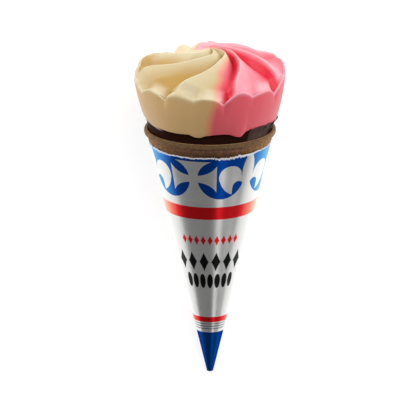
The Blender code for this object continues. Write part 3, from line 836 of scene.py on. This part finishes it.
# The tear's teeth, the folds, and the rows of the mesh, which are closer near the tear.
TEAR_SEED = 5
TOOTH_COLUMNS = 3
EDGE_RIPPLE = ((13, 0.08, 2.2), (29, 0.06, 0.9))
FOLD_RIPPLE = ((5, 0.03, 0.5), (11, 0.02, 1.7))
FOLD_FADE = 0.25
SLEEVE_COLUMNS = 720
SLEEVE_DROPS = np.concatenate((np.linspace(1.0, 0.1, 40), np.linspace(0.09, 0.0, 26)))
SLEEVE_TIP_TURNS = np.linspace(0.25, 1.0, 5)
INNER_ROW_STEP = 4
FAR_FROM_TEAR = 100.0

# The frieze. A leaf has half its length, its bulge and its middle; a circle has its place
# out from the lily's stem, its place up from the middle line, and its radius.
FRIEZE_MIDDLE = -16.4
FRIEZE_RADIUS = 23.7
FRIEZE_REPEATS = 3
CROSS_ANGLE = -17.5
SCALLOP_DEPTH = 9.7
SCALLOP_HALF_WIDTH = 10.7
CROSS_HALF_WIDTH = 10.1
CROSS_STRETCH = 1.22
CROSS_LEAF = {"half": 6.4, "bulge": 2.3, "middle": 9.2}
LILY_STEM = {"half": 9.5, "bulge": 3.1, "middle": 2.4}
PETAL_CIRCLE = (8.5, 0.6, 5.2)
HORN_CIRCLE = (4.7, 0.6, 8.7)
HORN_INNER_END = -4.2
HORN_OUTER_START = 7.3
CURL_CIRCLE = (4.6, -4.3, 2.6)
PRINT_SOFTNESS = 0.06

# The other prints. A row of ornaments has its middle, half its height, how many they
# are, how far round it reaches, and the power of their outline.
RED_BANDS = ((-35.8, -29.9), (-85.3, -82.8))
BAND_SOFTNESS = 0.08
TIP_BLUE = (-130.0, -90.2)
LOZENGE_POWER = 0.9
OVAL_POWER = 2.0
RED_LOZENGES = (-45.9, 2.4, 9, 46.0, LOZENGE_POWER)
BLACK_LOZENGES = (-56.2, 4.6, 6, 63.0, LOZENGE_POWER)
BLACK_OVALS = (-65.4, 3.4, 7, 52.0, OVAL_POWER)
ORNAMENT_WIDTH = 0.8
ORNAMENT_EDGE = (0.94, 1.06)
LINED_STRIP = (-89.4, -85.9)
LINE_PITCH = 1.2
LINE_LEVEL = 0.2
STRIP_STRENGTH = 0.7
# How much painted reflection the red takes where it turns away: less on the lower band.
RED_EDGE_LIGHT_HEIGHTS = (-80.0, -60.0)
LEAST_RED_EDGE_LIGHT = 0.35
FIBRE_REACH = 2.0


def sleeve_rows():
    """Rows of the sleeve, from its tip up the outside, over the torn edge and down the inside.

    The torn edge has small teeth, which are random draws averaged over their neighbours.
    Third comes the mark torn, the distance below the edge in widths of the bare paper
    there.
    """
    around = np.arange(SLEEVE_COLUMNS) * 360.0 / SLEEVE_COLUMNS
    around = ((around + 180.0) % 360.0 - 180.0)[None, :]
    flat = np.ones_like(around)
    rng = np.random.default_rng(TEAR_SEED)
    rough = np.tile(rng.normal(0.0, 1.0, SLEEVE_COLUMNS), 3)
    teeth = np.convolve(rough, np.ones(TOOTH_COLUMNS) / TOOTH_COLUMNS, "same")
    teeth = teeth[None, SLEEVE_COLUMNS:2 * SLEEVE_COLUMNS] * along(TOOTH_SIZE, around)
    edge = along(TORN_EDGE, around) + ripple(around, EDGE_RIPPLE) + teeth
    drop = SLEEVE_DROPS[:, None]
    height = edge + (SLEEVE_INNER_END - edge) * drop
    outer_r = sleeve_radius(height) + ripple(around, FOLD_RIPPLE) * ramp(drop / FOLD_FADE)
    tip_turn = SLEEVE_TIP_TURNS[:, None] * math.pi / 2.0
    tip_r = sleeve_radius(SLEEVE_TIP) * np.sin(tip_turn) * flat
    tip_height = SLEEVE_TIP - SLEEVE_TIP_BULGE * np.cos(tip_turn) * flat
    inner_height = np.vstack((height[::-1][::INNER_ROW_STEP], height[:1]))
    inner_r = sleeve_radius(inner_height) - SLEEVE_WALL
    rows_r = np.vstack((tip_r, outer_r, inner_r))
    rows_height = np.vstack((tip_height, height, inner_height))
    below = (edge - height) / along(PAPER_WIDTH, around)
    torn = np.vstack((np.full_like(tip_r, FAR_FROM_TEAR), below, np.zeros_like(inner_r)))
    return rows_r, rows_height, {"torn": torn}


def round_edge(tree, across, up, centre_across, centre_up, radius):
    """Distance outside a circle: the length from its centre less its radius."""
    dx = calc(tree, "SUBTRACT", across, centre_across)
    dy = calc(tree, "SUBTRACT", up, centre_up)
    squares = calc(tree, "ADD", calc(tree, "MULTIPLY", dx, dx), calc(tree, "MULTIPLY", dy, dy))
    return calc(tree, "SUBTRACT", calc(tree, "SQRT", squares), radius)


def leaf_edge(tree, lengthwise, sideways, half, bulge, middle):
    """Distance outside one side of a leaf, which is an arc through both ends of its length.

    The arc's radius is the sum of the squares of half the length and of the bulge, over
    twice the bulge.
    """
    radius = (half**2 + bulge**2) / (2.0 * bulge)
    return round_edge(tree, lengthwise, sideways, middle, bulge - radius, radius)


def new_group(name, inputs, outputs):
    """A shader node group with float sockets; gives the group, its inputs and its output node."""
    group = bpy.data.node_groups.new(name, "ShaderNodeTree")
    for title in inputs:
        group.interface.new_socket(title, in_out="INPUT", socket_type="NodeSocketFloat")
    for title in outputs:
        group.interface.new_socket(title, in_out="OUTPUT", socket_type="NodeSocketFloat")
    entry = group.nodes.new("NodeGroupInput")
    leave = group.nodes.new("NodeGroupOutput")
    return group, [entry.outputs[title] for title in inputs], leave


def frieze_group():
    """The blue ground of the frieze, from the distance round the cone and the height, in millimetres.

    A distance below zero is inside a shape. The ground is everything above the middle
    line, and a row of half ellipses, the scallops, under it. Cut out of it are a cross
    and a lily. The cross is a square less four leaves on its diagonals, and its lower
    leg is the gap between two scallops. The lily is an upright leaf with a petal on each
    side, which is a circle and the lower part of a wider one, less the small circle
    inside its curl.
    """
    group, (around, up), leave = new_group("lily_and_cross_frieze", ("Around", "Up"), ("Blue",))

    def work(operation, *values):
        return calc(group, operation, *values)

    repeat = 2.0 * math.pi * FRIEZE_RADIUS / FRIEZE_REPEATS
    from_cross = work("ABSOLUTE", work("WRAP", around, repeat / 2, -repeat / 2))
    narrowing = SCALLOP_DEPTH / SCALLOP_HALF_WIDTH
    narrowed = work("MULTIPLY", from_cross, narrowing)
    scallop = round_edge(group, narrowed, up, repeat / 4.0 * narrowing, 0.0, SCALLOP_DEPTH)
    ground = work("MINIMUM", scallop, work("MULTIPLY", up, -1.0))

    stretched = work("ABSOLUTE", work("MULTIPLY", up, CROSS_STRETCH))
    square = work("SUBTRACT", work("MAXIMUM", from_cross, stretched), CROSS_HALF_WIDTH)
    diagonal = work("MULTIPLY", work("ADD", from_cross, stretched), math.sqrt(0.5))
    off_diagonal = work("ABSOLUTE", work("SUBTRACT", from_cross, stretched))
    off_diagonal = work("MULTIPLY", off_diagonal, math.sqrt(0.5))
    leaf = leaf_edge(group, diagonal, off_diagonal, **CROSS_LEAF)
    cross = work("MAXIMUM", square, work("MULTIPLY", leaf, -1.0))
    foot_side = work("SUBTRACT", from_cross, stretched)
    foot = work("MULTIPLY", work("MAXIMUM", foot_side, up), -1.0)
    cross = work("MAXIMUM", cross, foot)

    from_lily = work("SUBTRACT", repeat / 2.0, from_cross)
    stem = leaf_edge(group, up, from_lily, **LILY_STEM)
    petal = round_edge(group, from_lily, up, *PETAL_CIRCLE)
    horn = round_edge(group, from_lily, up, *HORN_CIRCLE)
    horn = work("MAXIMUM", horn, work("SUBTRACT", up, HORN_CIRCLE[1]))
    outer_part = work("SUBTRACT", HORN_OUTER_START, from_lily)
    inner_part = work("SUBTRACT", HORN_INNER_END, up)
    horn = work("MAXIMUM", horn, work("MINIMUM", outer_part, inner_part))
    petal = work("MINIMUM", petal, horn)
    curl = round_edge(group, from_lily, up, *CURL_CIRCLE)
    petal = work("MAXIMUM", petal, work("MULTIPLY", curl, -1.0))
    lily = work("MINIMUM", stem, petal)

    silver = work("MINIMUM", cross, lily)
    blue = work("MAXIMUM", ground, work("MULTIPLY", silver, -1.0))
    mask = ranged(group, blue, -PRINT_SOFTNESS, PRINT_SOFTNESS, 1.0, 0.0)
    group.links.new(mask, leave.inputs["Blue"])
    return group


def ornament_mask(tree, around, height, row_middle, row_half, count, spread, power):
    """A mask of a row of upright lozenges or ovals, centred on the shown side.

    around is in degrees. The row spans spread degrees each way, split into count equal
    parts. Inside a shape, the sum of a power of the shares of its half width and half
    height is under one.
    """
    part = 2.0 * spread / count
    local = calc(tree, "FLOORED_MODULO", calc(tree, "ADD", around, spread), part)
    local = calc(tree, "SUBTRACT", local, part / 2.0)
    across = calc(tree, "ABSOLUTE", calc(tree, "DIVIDE", local, part / 2.0 * ORNAMENT_WIDTH))
    up = calc(tree, "ABSOLUTE", calc(tree, "DIVIDE", calc(tree, "SUBTRACT", height, row_middle), row_half))
    total = calc(tree, "ADD", calc(tree, "POWER", across, power), calc(tree, "POWER", up, power))
    inside = ranged(tree, total, *ORNAMENT_EDGE, 1.0, 0.0)
    in_row = calc(tree, "LESS_THAN", calc(tree, "ABSOLUTE", around), spread)
    return calc(tree, "MULTIPLY", inside, in_row)


def band_mask(tree, height, low, high):
    """A mask that is 1 between two heights, with a thin soft edge."""
    above = ranged(tree, height, low - BAND_SOFTNESS, low + BAND_SOFTNESS, 0.0, 1.0)
    below = ranged(tree, height, high - BAND_SOFTNESS, high + BAND_SOFTNESS, 1.0, 0.0)
    return calc(tree, "MULTIPLY", above, below)


def foil_material():
    """Printed foil: satin metal, inks that let the metal through, a bare paper edge and painted reflections.
    """
    material, tree, shader = new_material("printed_foil")
    where = put(tree, "ShaderNodeTexCoord").outputs["Object"]
    rim = (AXIS_X / 1000.0, RIM_Y / 1000.0, AXIS_LIFT / 1000.0)
    lean = (CONE_SLOPE, 0.0, 0.0)
    placed = put(tree, "ShaderNodeMapping", where, rim, lean, (1.0, 1.0, 1.0), vector_type="TEXTURE")
    parts = put(tree, "ShaderNodeSeparateXYZ", placed.outputs[0]).outputs
    around = calc(tree, "MULTIPLY", calc(tree, "ARCTAN2", parts["X"], parts["Z"]), 180.0 / math.pi)
    height = calc(tree, "MULTIPLY", parts["Y"], 1000.0)

    frieze = tree.nodes.new("ShaderNodeGroup")
    frieze.node_tree = frieze_group()
    from_cross = calc(tree, "SUBTRACT", around, CROSS_ANGLE)
    arc = calc(tree, "MULTIPLY", from_cross, math.pi / 180.0 * FRIEZE_RADIUS)
    tree.links.new(arc, frieze.inputs["Around"])
    tree.links.new(calc(tree, "SUBTRACT", height, FRIEZE_MIDDLE), frieze.inputs["Up"])
    tip = band_mask(tree, height, *TIP_BLUE)
    red = ornament_mask(tree, around, height, *RED_LOZENGES)
    for low, high in RED_BANDS:
        red = calc(tree, "MAXIMUM", red, band_mask(tree, height, low, high))
    lozenges = ornament_mask(tree, around, height, *BLACK_LOZENGES)
    ovals = ornament_mask(tree, around, height, *BLACK_OVALS)
    black = calc(tree, "MAXIMUM", lozenges, ovals)
    lines = calc(tree, "SINE", calc(tree, "MULTIPLY", height, 2.0 * math.pi / LINE_PITCH))
    lines = calc(tree, "GREATER_THAN", lines, LINE_LEVEL)
    strip = calc(tree, "MULTIPLY", band_mask(tree, height, *LINED_STRIP), lines)

    silver = mixed(tree, noise(tree, where, 220.0, 2.0), shade(214, 214, 212), shade(232, 232, 230))
    # Reflections painted where the foil turns away: the silver goes nearly white, the blue lighter, and the
    # red toward orange and white.
    facing = put(tree, "ShaderNodeLayerWeight", 0.5).outputs["Facing"]
    edge_light = ranged(tree, facing, 0.4, 0.75, 0.0, 1.0)
    silver = mixed(tree, edge_light, silver, shade(252, 252, 250))
    blue_edge_light = ranged(tree, facing, 0.36, 0.7, 0.0, 1.0)
    frieze_blue = mixed(tree, blue_edge_light, shade(1, 74, 170), shade(44, 162, 222))
    colour = mixed(tree, frieze.outputs["Blue"], silver, frieze_blue)
    colour = mixed(tree, tip, colour, shade(2, 70, 148))
    red_edge_light = calc(tree, "MULTIPLY", ranged(tree, height, *RED_EDGE_LIGHT_HEIGHTS, LEAST_RED_EDGE_LIGHT, 1.0), edge_light)
    colour = mixed(tree, red, colour, mixed(tree, red_edge_light, shade(236, 30, 36), shade(255, 186, 152)))
    colour = mixed(tree, black, colour, shade(24, 24, 26))
    colour = mixed(tree, calc(tree, "MULTIPLY", strip, STRIP_STRENGTH), colour, shade(70, 74, 96))
    reach = calc(tree, "MULTIPLY", noise(tree, where, 1400.0, 2.0), FIBRE_REACH)
    paper = calc(tree, "LESS_THAN", read_mark(tree, "torn"), reach)
    colour = mixed(tree, paper, colour, shade(222, 222, 226))
    tree.links.new(colour, shader.inputs["Base Color"])
    tree.links.new(ranged(tree, paper, 0.0, 1.0, 0.95, 0.0), shader.inputs["Metallic"])
    edge_tint = mixed(tree, tip, (1.0, 1.0, 1.0, 1.0), (0.05, 0.22, 0.48, 1.0))
    tree.links.new(edge_tint, shader.inputs["Specular Tint"])
    tree.links.new(ranged(tree, paper, 0.0, 1.0, 0.3, 0.6), shader.inputs["Roughness"])
    roughen(tree, shader, noise(tree, where, 90.0, 2.0), 0.08, 0.001)
    return material


sleeve_r, sleeve_height, sleeve_marks = sleeve_rows()
sleeve_tips = (SLEEVE_TIP - SLEEVE_TIP_BULGE, SLEEVE_INNER_END - SLEEVE_INNER_BULGE)
sleeve = cup_piece("printed_sleeve", sleeve_r, sleeve_height, sleeve_tips, sleeve_marks)
sleeve.data.materials.append(foil_material())
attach(sleeve, "root")
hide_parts("foil_sleeve")


# Table
# A plain pale sheet under the cone. It glows a little, fills the view, and ends not far
# beyond it, so that the foil's front reflects the dim room.

TABLE_HALF = 0.2

table_mesh = bpy.data.meshes.new("table")
corners = [(x * TABLE_HALF, y * TABLE_HALF, 0.0) for x, y in ((-1, -1), (1, -1), (1, 1), (-1, 1))]
table_mesh.from_pydata(corners, [], [(0, 1, 2, 3)])
table = new_object("table", table_mesh)
table_finish, _, table_shader = new_material("pale_table")
table_colours = {"Base Color": shade(150, 150, 150), "Emission Color": (1.0, 1.0, 1.0, 1.0)}
set_inputs(table_shader, table_colours | {"Emission Strength": 0.8, "Roughness": 0.8})
table.data.materials.append(table_finish)


# Light
# A large soft panel above and beyond the ice cream and a long low one on each side. Two
# small weak ones beyond the tip draw the streak and the sheen on the foil's front. The
# room is dim and white.

def soft_panel(name, place, target, width, height, power):
    """A rectangular light of a power in watts that faces a target."""
    data = bpy.data.lights.new(name, "AREA")
    data.shape = "RECTANGLE"
    data.size = width
    data.size_y = height
    data.energy = power
    panel = new_object(name, data)
    panel.location = place
    direction = np.array(target) - np.array(place)
    yaw = math.atan2(direction[1], direction[0]) - math.pi / 2.0
    tilt = math.atan2(math.hypot(direction[0], direction[1]), -direction[2])
    panel.rotation_euler = (tilt, 0.0, yaw)


MOUTH_MIDDLE = (0.0, 0.05, 0.02)
PART_MIDDLE = (0.0, 0.0, 0.02)
soft_panel("back_panel", (0.3, 0.8, 1.3), (0.0, 0.05, 0.03), 1.5, 1.2, 20.0)
soft_panel("left_panel", (-1.0, 0.45, 0.15), MOUTH_MIDDLE, 1.2, 0.3, 9.0)
soft_panel("right_panel", (1.0, 0.45, 0.15), MOUTH_MIDDLE, 1.2, 0.3, 8.0)
soft_panel("streak_panel", (0.55, -1.31, 0.745), PART_MIDDLE, 0.34, 0.24, 0.5)
soft_panel("sheen_panel", (1.06, -1.14, 0.34), PART_MIDDLE, 0.7, 0.5, 0.4)

room = bpy.data.worlds.new("room")
room.use_nodes = True
set_inputs(room.node_tree.nodes["Background"], {"Color": (1.0, 1.0, 1.0, 1.0), "Strength": 0.18})
bpy.context.scene.world = room
bpy.context.scene.view_settings.view_transform = "Standard"


# Camera
# A long lens above the cone, leaning a little toward the ice cream so that the top of
# the rosette shows, with the middle of the picture on the cone's axis.

VIEW_LEAN = math.radians(2.93)
VIEW_WIDTH = 0.1806
VIEW_DISTANCE = 6.0
VIEW_DEPTH = 20.0
SENSOR_WIDTH = 36.0
MIDDLE_HEIGHT = -37.0

camera_data = bpy.data.cameras.new("camera")
camera_data.sensor_width = SENSOR_WIDTH
camera_data.lens = SENSOR_WIDTH * VIEW_DISTANCE / VIEW_WIDTH
camera_data.clip_end = VIEW_DEPTH
camera = new_object("camera", camera_data)
aim = lying(0.0, 0.0, MIDDLE_HEIGHT)
camera.location = (
    float(aim[0]),
    float(aim[1]) + VIEW_DISTANCE * math.sin(VIEW_LEAN),
    float(aim[2]) + VIEW_DISTANCE * math.cos(VIEW_LEAN),
)
camera.rotation_euler = (-VIEW_LEAN, 0.0, 0.0)
bpy.context.scene.camera = camera
